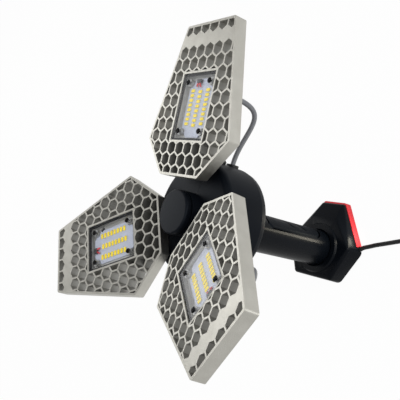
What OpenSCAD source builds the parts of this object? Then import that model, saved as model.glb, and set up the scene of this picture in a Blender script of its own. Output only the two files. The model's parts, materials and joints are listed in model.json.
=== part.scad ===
// Deformable work light: three folding honeycomb light panels on a round hub, a handle and a
// six-sided magnetic base. The origin is under the middle of the handle, on the surface it stands on.

/* [Light panel] */
// Length of a panel, from the edge at the hub to the outer edge
panel_len = 150; // [140:1:160]
// Full width of the outer edge
panel_outer_w = 75.2; // [70:0.2:80]
// Full width at the widest corners
panel_wide_w = 134.8; // [126:0.2:138]
// Full width of the edge at the hub
panel_inner_w = 63.4; // [56:0.2:66]
// Distance of the widest corners from the edge at the hub
panel_wide_y = 35.8; // [32:0.2:40]
// Thickness of a panel
panel_t = 12.4; // [11:0.1:14]
// Width of the rim round a panel
panel_rim = 2.4; // [2:0.1:4]
// Spacing of the honeycomb cells
cell_pitch = 13.7; // [12:0.1:16]
// Thickness of the honeycomb walls
cell_wall = 1.8; // [1.4:0.1:2.6]
// Fold of the three panels at rest, forward from flat
panel_tilts = [1.6, 16, 15.6]; // [0:0.1:16]

/* [LED window] */
// Width of the window
window_w = 51.8; // [48:0.2:54]
// Length of the window
window_len = 65.8; // [60:0.2:68]
// Distance of the window from the edge at the hub
window_y = 35; // [34:0.2:38]
// Depth of the recess behind the window
recess_d = 8; // [7:0.1:9]
// Number of LEDs along the window
led_rows = 8; // [4:1:8]
// Spacing of the LEDs along the window
led_pitch = 4.66; // [4.4:0.02:5]
// Spacing of the three columns of LEDs
led_column = 12.2; // [10:0.1:13]

/* [Hub] */
// Radius of the hub
drum_r = 58; // [56:0.5:58]
// Height of the hub's front face
drum_top = 215; // [214:0.5:216]
// Height of the seam between the hub's shell and its rear cover
seam_z = 172; // [170:0.5:174]
// Height of the hub's rear face
drum_bottom = 165; // [163:0.5:166]
// Radius of the nose
nose_r = 22.4; // [20:0.2:23]
// Height of the nose's face
nose_top = 235.3; // [232:0.1:238]
// Travel of the front button
button_travel = 1; // [0.6:0.1:1.2]

/* [Hinges] */
// Distance of the hinge pins from the handle's axis
hinge_r = 67.6; // [67:0.1:69]
// Height of the hinge pins
hinge_z = 213; // [212:0.5:214]
// Distance of a hinge pin from the panel's edge at the hub
hinge_y = 33.1; // [32:0.1:34]
// Distance of a hinge pin behind the panel's front face
hinge_d = 27.9; // [27:0.1:29]
// Radius of a hinge pin
pin_r = 2.5; // [2:0.1:3]

/* [Handle and base] */
// Radius of the handle
handle_r = 20.9; // [20:0.1:22]
// Height of the base's top
base_top = 23; // [21:0.5:25]
// Thickness of the foot pad
pad_t = 9.2; // [8.6:0.1:9.8]

/* [Cord] */
// Diameter of the power cord and of the panel cables
cord_d = 5; // [4:0.1:5.2]
// Turns in the coil of spare cord
coil_turns = 7.4; // [6.4:1:8.4]
// Mean radius of the coil
coil_r = 29; // [27:0.5:31]

/* [Hidden] */
$fn = 64;
eps = 0.01;
letters = ["a", "b", "c"];
head_turn = -1.4;

// Panel outline, seen from the front: x across, y from the hub outwards
panel_outline = [
  [-panel_inner_w / 2, 0], [panel_inner_w / 2, 0], [panel_wide_w / 2, panel_wide_y],
  [panel_outer_w / 2, panel_len], [-panel_outer_w / 2, panel_len], [-panel_wide_w / 2, panel_wide_y]
];
corner_r = 2.5;
row_step = cell_pitch * sqrt(3) / 2;
first_row_y = 3.55;
strip_row = 11;
window_band = 2;
ledge_w = 2.5;
lens_t = 2;
lens_top = -1;
gasket_t = 0.5;
board_t = 1.2;
board_w = 38;
board_y0 = 39;
board_len = 57.5;
led_size = [5.6, 3, 0.8];
led_first_y = 52.3;
middle_shift = 1.4;
post_x = 17.3;
post_y = [44.2, 92.3];
post_r = 3.6;
screw_r = 1.5;
screw_bite_r = 1.35;
screw_head_r = 2.7;
screw_head_t = 1.1;
yoke_screw = [21, 47];
yoke_t = 2.5;
knuckle_half = 9.7;
lug_x = 10;
lug_t = 6.5;
lug_r = 7.2;
knuckle_r = 6.2;
pin_gap = 0.05;
gland_x = 20.5;
gland_y = 85;
gland_len = 8;
rear_rim_r = 56.6;
wall = 2.5;
edge_r = 6.5;
board_z = 195;
neck_r = 14;
neck_top = 178;
collar_top = 227.9;
button_gap = 1.2;
stem_r = 4.2;
stem_low = drum_top - 4.5;
cap_t = 2.5;
shell_top = 164.6;
grip_r = 18.4;
// Half the outlines of the handle's window and of the pad in it, seen square to the middle: across, height
window_outline = [[11.4, 126.2], [17.4, 124.8], [19.9, 118], [18.2, 44], [16, 39.5], [12, 38]];
pad_outline = [[10.2, 123.2], [15.4, 122.2], [18, 116.6], [16.6, 45.4], [15, 41.8], [11.4, 40.6]];
window_half = 72.7;
pad_half = 64;
groove_z = [72.5, 91.5];
groove_slope = 55;
groove_w = 2;
groove_d = 1.4;
groove_l = 26;
groove_az = 24;
plate_t = 2;
relief_z = 3.6;
relief_az = -60;
relief_start = [5.4, -40.3];
relief_len = 8;
grommet_z = 178.5;
grommet_az = -2;
grommet_r = 6.4;
grommet_face = 60.5;

// Base outline, half of it: the nose end, the wide corner and the short end
floor_rim = [[58.4, 15.6], [4.4, 49], [-35, 28]];
front_ring = [[56.3, 16, 13.3], [5.9, 45.4, 22], [-34.2, 27.8, 21]];
top_flat = [[37, 17.5], [3.5, 41.5], [-30, 25]];
// The casing's skirt runs round the pad from the wide corners to the short end
skirt_x = 10;
skirt_t = 3;
skirt_z = 0.8;
skirt_r = 1.5;
rim_r = 8;
base_r = 4;

function both_sides(half) = concat(half, [for (i = [len(half) - 1:-1:0]) [half[i][0], -half[i][1]]]);
function both_sides_x(half) = [for (p = both_sides([for (h = half) [h[1], h[0]]])) [p[1], p[0]]];
function unit(v) = v / norm(v);
function rot2(v) = [v[1], -v[0]];
function cross2(a, b) = a[0] * b[1] - a[1] * b[0];
// Where two lines, each a point and a direction, cross
function meet(p, u, q, v) = p + u * cross2(q - p, v) / cross2(u, v);
// A convex outline, counter-clockwise, moved inwards by d
function inset(pts, d) = [for (i = [0:len(pts) - 1])
  let (n = len(pts), a = pts[(i + n - 1) % n], b = pts[i], c = pts[(i + 1) % n],
       u = unit(b - a), v = unit(c - b))
  meet(b - rot2(u) * d, u, b - rot2(v) * d, v)];
// A convex outline, counter-clockwise, with its corners rounded
function rounded(pts, r, steps = 4) = [for (i = [0:len(pts) - 1])
  let (n = len(pts), a = pts[(i + n - 1) % n], b = pts[i], c = pts[(i + 1) % n],
       u = unit(a - b), v = unit(c - b), m = unit(u + v), s = abs(cross2(u, m)), o = b + m * r / s,
       out = rot2(-u), start = atan2(out[1], out[0]), turn = 180 - acos(u * v))
  for (k = [0:steps]) o + r * [cos(start + turn * k / steps), sin(start + turn * k / steps)]];

// A point of a panel, moved to its place on the light
function placed(p, phi, tilt) =
  let (x = p[1] - hinge_y, y = -p[0], z = p[2] + hinge_d,
       xt = x * cos(tilt) - z * sin(tilt) + hinge_r, zt = x * sin(tilt) + z * cos(tilt) + hinge_z)
  [xt * cos(phi) - y * sin(phi), xt * sin(phi) + y * cos(phi), zt];
function panel_az(i) = head_turn + 120 * i;
function radial(az) = [cos(az), sin(az), 0];

// Moves a panel from its own axes to its place
module on_panel(i) {
  rotate([0, 0, panel_az(i)])
    translate([hinge_r, 0, hinge_z])
      rotate([0, -panel_tilts[i], 0])
        translate([-hinge_y, 0, hinge_d])
          rotate([0, 0, -90])
            children();
}

// A hinge part, in panel axes but flat: only the pin's line is shared with the panel
module on_hub(i) {
  rotate([0, 0, panel_az(i)]) children();
}

// Profile in the panel's y-z plane, as wide as w, with its middle at x
module panel_profile(pts, w, x = 0) {
  translate([x - w / 2, 0, 0])
    rotate([90, 0, 90])
      linear_extrude(w) polygon(pts);
}

// A round bar across the panel at the hinge pin
module pin_bar(r, w, x = 0) {
  translate([x - w / 2, hinge_y, -hinge_d])
    rotate([0, 90, 0])
      cylinder(r = r, h = w);
}

// ---- Light panel ----

module honeycomb() {
  cell_r = (cell_pitch - cell_wall) / sqrt(3);
  for (j = [0:12])
    for (i = [-6:5])
      let (x = (i + (j % 2 == 0 ? 0.5 : 0)) * cell_pitch)
        if (j != strip_row)
          translate([x, first_row_y + row_step * j])
            rotate(30) circle(r = cell_r, $fn = 6);
}

module cell_area() {
  difference() {
    polygon(rounded(inset(panel_outline, panel_rim), corner_r - 1));
    translate([-window_w / 2 - window_band, window_y - window_band])
      square([window_w + 2 * window_band, window_len + 2 * window_band]);
  }
}

module window_box(inset_by, z0, z1) {
  translate([-window_w / 2 + inset_by, window_y + inset_by, z0])
    cube([window_w - 2 * inset_by, window_len - 2 * inset_by, z1 - z0]);
}

module at_posts() {
  for (x = [-post_x, post_x])
    for (y = post_y)
      translate([x, y, 0]) children();
}

module at_yoke_screws() {
  for (x = [-yoke_screw[0], yoke_screw[0]])
    translate([x, yoke_screw[1], 0]) children();
}

module frame(i) {
  post_top = lens_top - lens_t - gasket_t;
  color([0.74, 0.73, 0.70])
    on_panel(i)
      difference() {
        union() {
          difference() {
            translate([0, 0, -panel_t])
              linear_extrude(panel_t) polygon(rounded(panel_outline, corner_r));
            translate([0, 0, -panel_t - 1])
              linear_extrude(panel_t + 2)
                intersection() {
                  cell_area();
                  honeycomb();
                }
            window_box(0, post_top, 1);
            window_box(ledge_w, -recess_d, 1);
          }
          at_posts() translate([0, 0, -recess_d - 1]) cylinder(r = post_r, h = recess_d + 1 + post_top);
        }
        at_posts() translate([0, 0, -recess_d - 2]) cylinder(r = screw_bite_r, h = recess_d + 3);
        at_yoke_screws() translate([0, 0, -panel_t - 1]) cylinder(r = screw_bite_r, h = 4.4);
        translate([gland_x, gland_y, -panel_t - 1]) cylinder(r = 2.6, h = panel_t);
      }
}

module led_board(i) {
  clip = 9;
  x = board_w / 2;
  y0 = board_y0;
  y1 = board_y0 + board_len;
  color("white")
    on_panel(i)
      translate([0, 0, -recess_d])
        difference() {
          linear_extrude(board_t)
            polygon([[-x + clip, y0], [x - clip, y0], [x, y0 + clip], [x, y1 - clip],
                     [x - clip, y1], [-x + clip, y1], [-x, y1 - clip], [-x, y0 + clip]]);
          at_posts() cylinder(r = post_r + 0.3, h = 3, center = true);
          translate([gland_x, gland_y, 0]) cylinder(r = 2.6, h = 3, center = true);
        }
}

module leds(i) {
  color([0.95, 0.82, 0.25])
    on_panel(i)
      for (c = [-1:1])
        for (r = [0:led_rows - 1])
          translate([c * led_column, led_first_y + r * led_pitch - (c == 0 ? middle_shift : 0),
                     -recess_d + board_t + led_size[2] / 2])
            cube(led_size, center = true);
}

module lens(i) {
  color([0.9, 0.93, 0.95, 0.4])
    on_panel(i)
      difference() {
        window_box(0.2, lens_top - lens_t, lens_top);
        at_posts() translate([0, 0, lens_top - lens_t - 1]) cylinder(r = screw_r + 0.15, h = lens_t + 2);
      }
}

module gasket(i) {
  color([0.2, 0.2, 0.2])
    on_panel(i)
      difference() {
        window_box(0.2, lens_top - lens_t - gasket_t, lens_top - lens_t);
        window_box(ledge_w, lens_top - lens_t - 1, lens_top);
      }
}

// Six alike: four hold the lens from the front, two hold the yoke from the back
module panel_screw(length) {
  cylinder(r = screw_head_r, h = screw_head_t);
  translate([0, 0, -length]) cylinder(r = screw_r, h = length + eps);
}

module screws(i) {
  color([0.1, 0.1, 0.1])
    on_panel(i) {
      at_posts() translate([0, 0, lens_top]) panel_screw(7);
      at_yoke_screws() translate([0, 0, -panel_t - yoke_t]) mirror([0, 0, 1]) panel_screw(5);
    }
}

module gland(i) {
  color([0.15, 0.15, 0.15])
    on_panel(i)
      translate([gland_x, gland_y, -panel_t]) {
        translate([0, 0, -2]) cylinder(r = 6.5, h = 2);
        translate([0, 0, -gland_len]) cylinder(r1 = 3.6, r2 = 5, h = gland_len - 2);
      }
}

// ---- Hinge ----

module yoke(i) {
  back = -panel_t - yoke_t;
  lug = [[hinge_y - 10, back], [hinge_y - 10, back - 3], [hinge_y - lug_r, -hinge_d],
         [hinge_y + lug_r, -hinge_d], [hinge_y + 10, back - 3], [hinge_y + 10, back]];
  color([0.13, 0.13, 0.14])
    on_panel(i)
      difference() {
        union() {
          translate([0, 0, back])
            linear_extrude(yoke_t)
              polygon([[-28, 3.2], [28, 3.2], [36, 12], [36, 28], [28, 52], [-28, 52], [-36, 28], [-36, 12]]);
          for (s = [-1, 1])
            union() {
              panel_profile(lug, lug_t, s * (lug_x + lug_t / 2));
              pin_bar(lug_r, lug_t, s * (lug_x + lug_t / 2));
            }
        }
        pin_bar(pin_r + 0.01, 60);
        at_yoke_screws() translate([0, 0, back - 1]) cylinder(r = screw_r + 0.15, h = yoke_t + 2);
      }
}

module hinge_pin(i) {
  span = 2 * (lug_x + lug_t);
  color("silver")
    on_panel(i)
      union() {
        pin_bar(pin_r, span);
        for (s = [-1, 1]) pin_bar(4, 1.2, s * (span / 2 + 0.6));
      }
}

module bracket(i) {
  side = [[drum_r - 1, 193], [60, 193], [73.4, 210.5], [72.3, 217.3], [67.6, 219.2], [61, 218], [drum_r - 1, 216]];
  color([0.13, 0.13, 0.14])
    difference() {
      on_hub(i)
        difference() {
          union() {
            translate([0, knuckle_half, 0])
              rotate([90, 0, 0])
                linear_extrude(2 * knuckle_half) polygon(side);
            translate([hinge_r, knuckle_half, hinge_z])
              rotate([90, 0, 0])
                cylinder(r = knuckle_r, h = 2 * knuckle_half);
          }
          translate([hinge_r, 20, hinge_z])
            rotate([90, 0, 0])
              cylinder(r = pin_r + pin_gap, h = 40);
        }
      cylinder(r = drum_r, h = 240);
    }
}

// ---- Panel cable ----

function bezier(p, t) =
  let (s = 1 - t)
  p[0] * pow(s, 4) + p[1] * 4 * t * pow(s, 3) + p[2] * 6 * t * t * s * s + p[3] * 4 * pow(t, 3) * s + p[4] * pow(t, 4);
// The cable leaves the gland square to the panel, loops back and enters the grommet square to the hub.
// The third one is bent closer to the hub, as cables bent by hand are.
loop_pole = [[26, 78, -71], [26, 78, -71], [-31, 33.5, -67]];
loop_out = [45, 45, 34.5];
loop_in = [30, 30, 20];
function cable_poles(i) =
  let (phi = panel_az(i), az = phi + grommet_az, tilt = panel_tilts[i])
  [placed([gland_x, gland_y, -panel_t - gland_len], phi, tilt),
   placed([gland_x, gland_y, -panel_t - gland_len - loop_out[i]], phi, tilt),
   placed(loop_pole[i], phi, tilt / 2),
   radial(az) * (grommet_face + loop_in[i]) + [0, 0, grommet_z],
   radial(az) * grommet_face + [0, 0, grommet_z]];
cable_rings = 24;
function cable_line(i) = [for (k = [0:cable_rings]) bezier(cable_poles(i), k / cable_rings)];

// ---- A tube swept along points ----

function heading(p, k) =
  unit(k == 0 ? p[1] - p[0] : k == len(p) - 1 ? p[k] - p[k - 1] : p[k + 1] - p[k - 1]);
// Rings stay upright: their second axis leans as little as it can from the vertical
function ring(c, d, r, sides) =
  let (up = abs(d[2]) > 0.9 ? [1, 0, 0] : [0, 0, 1], a = unit(cross(d, up)), b = cross(a, d))
  [for (k = [0:sides - 1]) c + r * (a * cos(360 * (k + 0.5) / sides) + b * sin(360 * (k + 0.5) / sides))];
module tube(p, r, sides, first = undef, last = undef) {
  n = len(p);
  points = [for (k = [0:n - 1])
    each ring(p[k], k == 0 && !is_undef(first) ? first : k == n - 1 && !is_undef(last) ? last : heading(p, k),
              r, sides)];
  sides_faces = [for (k = [0:n - 2])
    for (s = [0:sides - 1])
      let (a = k * sides + s, b = k * sides + (s + 1) % sides)
      each [[a, b, b + sides], [a, b + sides, a + sides]]];
  caps = [[for (s = [sides - 1:-1:0]) s], [for (s = [0:sides - 1]) (n - 1) * sides + s]];
  polyhedron(points = points, faces = concat(sides_faces, caps), convexity = 10);
}
// Length of a line of points
function length_of(p, k = 0) = k >= len(p) - 1 ? 0 : norm(p[k + 1] - p[k]) + length_of(p, k + 1);

module cable(i) {
  p = cable_line(i);
  az = panel_az(i) + grommet_az;
  start = unit(cable_poles(i)[1] - cable_poles(i)[0]);
  color([0.62, 0.63, 0.65]) tube(p, cord_d / 2, 8, first = start, last = -radial(az));
}

module grommets() {
  color([0.08, 0.08, 0.08])
    for (i = [0:2])
      difference() {
        rotate([0, 0, panel_az(i) + grommet_az])
          translate([0, 0, grommet_z])
            rotate([0, 90, 0])
              union() {
                translate([0, 0, drum_r - 4]) cylinder(r = grommet_r, h = grommet_face - drum_r + 4);
                translate([0, 0, drum_r - 6]) cylinder(r = 4.4, h = 6);
              }
        difference() {
          cylinder(r = drum_r, h = 240);
          rotate([0, 0, panel_az(i) + grommet_az])
            translate([0, 0, grommet_z])
              rotate([0, 90, 0])
                cylinder(r = 4.4, h = 100);
        }
      }
}

// ---- Hub ----

// Turned shape of the hub's outside, from the seam up, moved inwards by d
module drum_outside(d) {
  rotate_extrude($fn = 128)
    union() {
      translate([0, seam_z]) square([drum_r - d, drum_top - edge_r - seam_z]);
      translate([0, seam_z]) square([drum_r - edge_r, drum_top - d - seam_z]);
      translate([drum_r - edge_r, drum_top - edge_r]) circle(r = edge_r - d, $fn = 64);
    }
}

post_hub_r = 34;
module at_hub_posts() {
  for (k = [0:2])
    rotate([0, 0, head_turn + 60 + 120 * k])
      translate([post_hub_r, 0, 0]) children();
}

cover_screw_r = 49;
module at_cover_posts() {
  for (k = [0:2])
    rotate([0, 0, head_turn + 60 + 120 * k])
      translate([cover_screw_r, 0, 0]) children();
}

module drum_shell() {
  color([0.15, 0.16, 0.17])
    difference() {
      union() {
        difference() {
          drum_outside(0);
          translate([0, 0, -eps]) drum_outside(wall);
        }
        // Fixed part of the nose
        translate([0, 0, drum_top - wall]) cylinder(r = nose_r, h = collar_top - drum_top + wall);
        at_hub_posts() translate([0, 0, board_z + 1.6]) cylinder(r = 3.5, h = drum_top - wall - board_z - 1.6 + eps);
        at_cover_posts() translate([0, 0, seam_z]) cylinder(r = 4, h = drum_top - wall - seam_z + eps);
      }
      translate([0, 0, drum_top]) cylinder(r = nose_r - wall, h = 20);
      translate([0, 0, drum_top - 4]) cylinder(r = stem_r + 0.3, h = 8);
      at_hub_posts() translate([0, 0, board_z]) cylinder(r = screw_bite_r, h = 10);
      at_cover_posts() translate([0, 0, seam_z - 1]) cylinder(r = screw_bite_r, h = 12);
      for (i = [0:2])
        rotate([0, 0, panel_az(i) + grommet_az])
          translate([0, 0, grommet_z])
            rotate([0, 90, 0])
              cylinder(r = 4.45, h = 100);
    }
}

module rear_cover() {
  color([0.16, 0.17, 0.18])
    difference() {
      rotate_extrude($fn = 128)
        polygon([[neck_r + 0.05, drum_bottom], [rear_rim_r - 1, drum_bottom], [rear_rim_r, drum_bottom + 1],
                 [drum_r, seam_z], [drum_r - wall, seam_z], [drum_r - wall - 1, drum_bottom + 3],
                 [neck_r + 4, drum_bottom + 3], [neck_r + 4, drum_bottom + 8], [neck_r + 0.05, drum_bottom + 8]]);
      at_cover_posts() translate([0, 0, drum_bottom - 1]) cylinder(r = screw_r + 0.15, h = 12);
      at_cover_posts() translate([0, 0, drum_bottom - 1]) cylinder(r = screw_head_r + 0.2, h = 2.2);
    }
  // Spacers between the cover and the shell's posts
  color([0.16, 0.17, 0.18])
    at_cover_posts()
      difference() {
        translate([0, 0, drum_bottom + 2]) cylinder(r = 4, h = seam_z - drum_bottom - 2);
        translate([0, 0, drum_bottom]) cylinder(r = screw_r + 0.15, h = 12);
      }
}

module cover_screws() {
  color([0.25, 0.25, 0.26]) {
    at_cover_posts() translate([0, 0, drum_bottom + 1.2]) mirror([0, 0, 1]) panel_screw(14);
    at_hub_posts() translate([0, 0, board_z]) mirror([0, 0, 1]) panel_screw(8);
  }
}

module swivel_washer() {
  color("silver")
    difference() {
      translate([0, 0, drum_bottom + 8.2]) cylinder(r = 19, h = 1.6);
      cylinder(r = neck_r + 0.3, h = 240);
    }
}

module swivel_nut() {
  color([0.2, 0.2, 0.21])
    difference() {
      translate([0, 0, drum_bottom + 10]) cylinder(r = 19, h = neck_top - drum_bottom - 10, $fn = 6);
      cylinder(r = neck_r, h = 240);
    }
}

module driver_board() {
  color([0.1, 0.35, 0.2])
    difference() {
      translate([0, 0, board_z]) cylinder(r = 44, h = 1.6);
      at_hub_posts() translate([0, 0, board_z - 1]) cylinder(r = screw_r + 0.15, h = 4);
    }
}

module driver_parts() {
  color([0.3, 0.3, 0.32])
    for (k = [0:2])
      rotate([0, 0, head_turn + 120 * k]) {
        translate([24, 0, board_z + 1.6]) cylinder(r = 5, h = 12);
        translate([32, 10, board_z + 1.6]) cube([8, 8, 7]);
        translate([14, -18, board_z + 1.6]) cube([10, 6, 4]);
      }
}

module push_switch() {
  top = board_z + 12;
  color([0.12, 0.12, 0.12])
    difference() {
      translate([-6, -6, board_z + 1.6]) cube([12, 12, top - board_z - 1.6]);
      translate([0, 0, top - 5]) cylinder(r = 2.55, h = 6);
    }
}

module switch_plunger() {
  color("white")
    translate([0, 0, board_z + 9]) cylinder(r = 2.5, h = stem_low - board_z - 9);
}

module front_button() {
  cap_under = collar_top + button_gap;
  soft = 2.2;
  color([0.17, 0.18, 0.19])
    difference() {
      union() {
        difference() {
          union() {
            rotate_extrude($fn = 96)
              union() {
                translate([0, cap_under]) square([nose_r, nose_top - soft - cap_under]);
                translate([0, cap_under]) square([nose_r - soft, nose_top - cap_under]);
                translate([nose_r - soft, nose_top - soft]) circle(r = soft, $fn = 32);
              }
            translate([0, 0, drum_top + 4]) cylinder(r = nose_r - wall - 0.4, h = cap_under - drum_top - 3);
          }
          translate([0, 0, drum_top]) cylinder(r = nose_r - wall - 2.6, h = nose_top - cap_t - drum_top);
        }
        translate([0, 0, stem_low]) cylinder(r = stem_r, h = nose_top - 1 - stem_low);
      }
      // Groove for the clip
      translate([0, 0, stem_low + 0.9])
        difference() {
          cylinder(r = stem_r + 1, h = 0.9);
          translate([0, 0, -1]) cylinder(r = stem_r - 0.7, h = 3);
        }
    }
}

module button_clip() {
  color("silver")
    difference() {
      translate([0, 0, stem_low + 0.95]) cylinder(r = 7, h = 0.8);
      cylinder(r = stem_r - 0.65, h = 240);
    }
}

// Return spring round the stem, one open coil
spring_turns = 4;
spring_wire = 0.9;
spring_r = 8;
module button_spring() {
  low = drum_top + spring_wire / 2 + 0.1;
  high = nose_top - cap_t - spring_wire / 2 - 0.1;
  per_turn = 16;
  steps = per_turn * spring_turns;
  line = [for (k = [0:steps])
    let (a = 360 * k / per_turn)
    [spring_r * cos(a), spring_r * sin(a), low + (high - low) * k / steps]];
  color("silver") tube(line, spring_wire / 2, 6);
}

// ---- Handle ----

// An outline across the handle, cut from its front and kept between -half and half degrees
module across_handle(outline, half) {
  reach = 40;
  fan = [for (k = [0:8]) let (a = -half + 2 * half * k / 8) reach * [cos(a), sin(a)]];
  intersection() {
    rotate([90, 0, 90]) linear_extrude(reach) polygon(both_sides_x(outline));
    linear_extrude(shell_top) polygon(concat([[0, 0]], fan));
  }
}

module handle_shell() {
  color([0.19, 0.20, 0.21])
    difference() {
      union() {
        translate([0, 0, base_top - 1]) cylinder(r = handle_r, h = shell_top - base_top + 1, $fn = 96);
        translate([0, 0, shell_top - 1]) cylinder(r = neck_r, h = neck_top - shell_top + 1, $fn = 96);
      }
      // Long window over the grip
      difference() {
        across_handle(window_outline, window_half);
        cylinder(r = grip_r, h = shell_top, $fn = 96);
      }
      translate([0, 0, base_top - 2]) cylinder(r = lead_bore, h = 200);
      at_handle_screws() translate([0, 0, base_top - 2]) cylinder(r = screw_bite_r, h = 10);
    }
}

module grip_pad() {
  color([0.16, 0.17, 0.19])
    difference() {
      intersection() {
        across_handle(pad_outline, pad_half);
        difference() {
          cylinder(r = handle_r - 0.4, h = shell_top, $fn = 96);
          translate([0, 0, -1]) cylinder(r = grip_r, h = shell_top + 2, $fn = 96);
        }
      }
      // Two chevron grooves that point to the hub
      for (s = [-1, 1])
        for (z = groove_z)
          rotate([0, 0, s * groove_az])
            translate([handle_r - 0.4, 0, z])
              rotate([-s * groove_slope, 0, 0])
                cube([groove_d * 2, groove_l, groove_w], center = true);
    }
}

// ---- Base ----

module base_body() {
  rim = inset(both_sides(floor_rim), rim_r);
  ring_pts = inset(both_sides([for (p = front_ring) [p[0], p[1]]]), base_r);
  flat = inset(both_sides(top_flat), 1);
  hull()
    for (k = [0:5]) {
      z_ring = front_ring[min(k, 5 - k)][2];
      translate([rim[k][0], rim[k][1], skirt_z])
        cylinder(r1 = rim_r - skirt_r, r2 = rim_r, h = skirt_r, $fn = 48);
      translate([ring_pts[k][0], ring_pts[k][1], z_ring - 0.7 * base_r]) sphere(r = base_r, $fn = 24);
      translate([flat[k][0], flat[k][1], base_top - base_r]) sphere(r = base_r, $fn = 16);
    }
}

boss_at = [[28, 12], [28, -12], [-2, 30], [-22, 0]];
module at_bosses() {
  for (p = boss_at) translate([p[0], p[1], 0]) children();
}

handle_screw_r = 13;
module at_handle_screws() {
  for (k = [0:2])
    rotate([0, 0, 60 + 120 * k])
      translate([handle_screw_r, 0, 0]) children();
}

lead_bore = 6;
cavity_top = 19;
cavity = both_sides([[38, 11], [5, 34], [-24, 18]]);

module base_casing() {
  color([0.17, 0.18, 0.19])
    difference() {
      union() {
        difference() {
          base_body();
          translate([skirt_x, -100, -1]) cube([200, 200, pad_t + 1]);
          translate([0, 0, -1]) linear_extrude(pad_t + 1) polygon(inset(both_sides(floor_rim), skirt_t));
          lead_channel();
          translate([0, 0, pad_t - 1]) linear_extrude(cavity_top - pad_t + 1) polygon(cavity);
        }
        // Collar round the handle
        rotate_extrude($fn = 96)
          translate([handle_r, 0])
            polygon([[0, 20], [8.6, 20], [8.6, base_top + 0.5], [7, base_top + 2.5],
                     [1.6, base_top + 2.5], [0, base_top + 1]]);
        at_bosses() translate([0, 0, pad_t + plate_t]) cylinder(r = 3.6, h = 9);
      }
      translate([0, 0, base_top - 1]) cylinder(r = handle_r, h = 30, $fn = 96);
      translate([0, 0, 5]) cylinder(r = lead_bore, h = 30);
      at_bosses() translate([0, 0, pad_t]) cylinder(r = screw_bite_r, h = 10);
      at_handle_screws() translate([0, 0, cavity_top - 1]) cylinder(r = screw_r + 0.15, h = 20);
    }
}

// The lead's way through the pad: a slot round the relief, open to the top where the lead rises
channel_w = 6.4;
channel_in = 27;
channel_high = 10;
module lead_channel() {
  translate([relief_start[0], relief_start[1], relief_z - 3.1])
    rotate([0, 0, relief_az]) {
      translate([-channel_in, -channel_w / 2, 0]) cube([channel_in + relief_len + 10, channel_w, 6.2]);
      translate([-channel_in, -channel_w / 2, 0]) cube([channel_in - channel_high, channel_w, pad_t]);
    }
}

magnet_at = [[42, 0], [17, 26], [17, -26], [-13, 15], [-17, -11]];
magnet_r = 8;
magnet_z = 2;
module at_magnets() {
  for (p = magnet_at) translate([p[0], p[1], 0]) children();
}

module foot_pad() {
  color([0.85, 0.16, 0.18])
    difference() {
      linear_extrude(pad_t)
        union() {
          intersection() {
            polygon(rounded(both_sides(floor_rim), 2.5));
            translate([skirt_x + 0.2, -100]) square([200, 200]);
          }
          polygon(inset(both_sides(floor_rim), skirt_t + 0.3));
        }
      at_magnets() translate([0, 0, magnet_z]) cylinder(r = magnet_r, h = pad_t);
      at_bosses() translate([0, 0, pad_t - 1.6]) cylinder(r = screw_head_r + 0.4, h = 3);
      lead_channel();
    }
}

module base_plate() {
  color("silver")
    difference() {
      translate([0, 0, pad_t]) linear_extrude(plate_t) polygon(rounded(inset(cavity, 0.3), 2));
      at_bosses() translate([0, 0, pad_t - 1]) cylinder(r = screw_r + 0.15, h = plate_t + 2);
      translate([-9.2, -25.4, pad_t - 1]) cube([9, 15.2, plate_t + 2]);
    }
}

module magnets() {
  color([0.6, 0.6, 0.62])
    at_magnets() translate([0, 0, magnet_z]) cylinder(r = magnet_r, h = pad_t - magnet_z);
}

module base_screws() {
  color([0.3, 0.3, 0.3]) {
    at_bosses() translate([0, 0, pad_t]) mirror([0, 0, 1]) panel_screw(9);
    at_handle_screws() translate([0, 0, cavity_top]) mirror([0, 0, 1]) panel_screw(11);
  }
}

relief_dir = radial(relief_az);
relief_in = [relief_start[0], relief_start[1], relief_z];
relief_out = relief_in + relief_dir * relief_len;

module cord_relief() {
  color([0.1, 0.1, 0.1])
    translate(relief_in)
      rotate([0, 90, relief_az])
        cylinder(r1 = 3.05, r2 = 2.75, h = relief_len);
}

// The lead inside: from the relief to the middle of the base and up the handle to the driver board
lead_points = [
  relief_in, relief_in - relief_dir * 6, relief_in - relief_dir * 12, [-3.1, -25.6, 5.5], [-4.9, -22, 9],
  [-6.2, -18.9, 12.4], [-4.9, -14.3, 14.8], [-3, -9.5, 15.6], [-1.2, -4.6, 16.2], [-0.2, -1.2, 20], [0, 0, 26],
  [0, 0, 60], [0, 0, 120], [0, 0, 184]
];
module supply_lead() {
  color([0.1, 0.1, 0.1]) tube(lead_points, cord_d / 2 - 0.3, 8, first = -relief_dir);
}

// ---- Power cord ----

// Route on the floor, from the relief past the picture's edge to the coil
lead_route = [
  relief_out, relief_out + relief_dir * 4 + [0, 0, -0.3], [13.5, -56, 2.6], [16.5, -64, 2.5], [19, -72, 2.5],
  [21.5, -80, 2.5], [24, -88, 2.5], [26.5, -96, 2.5], [29, -104, 2.5], [31.5, -112, 2.5], [34, -120, 2.5],
  [36.5, -127.7, 2.5]
];
coil_step = 5.6;
coil_in_az = 197.5;
coil_layers = 2;
coil_middle = [77.6, -126.1, 2.5];
coil_span = coil_step * coil_turns / coil_layers;
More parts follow.
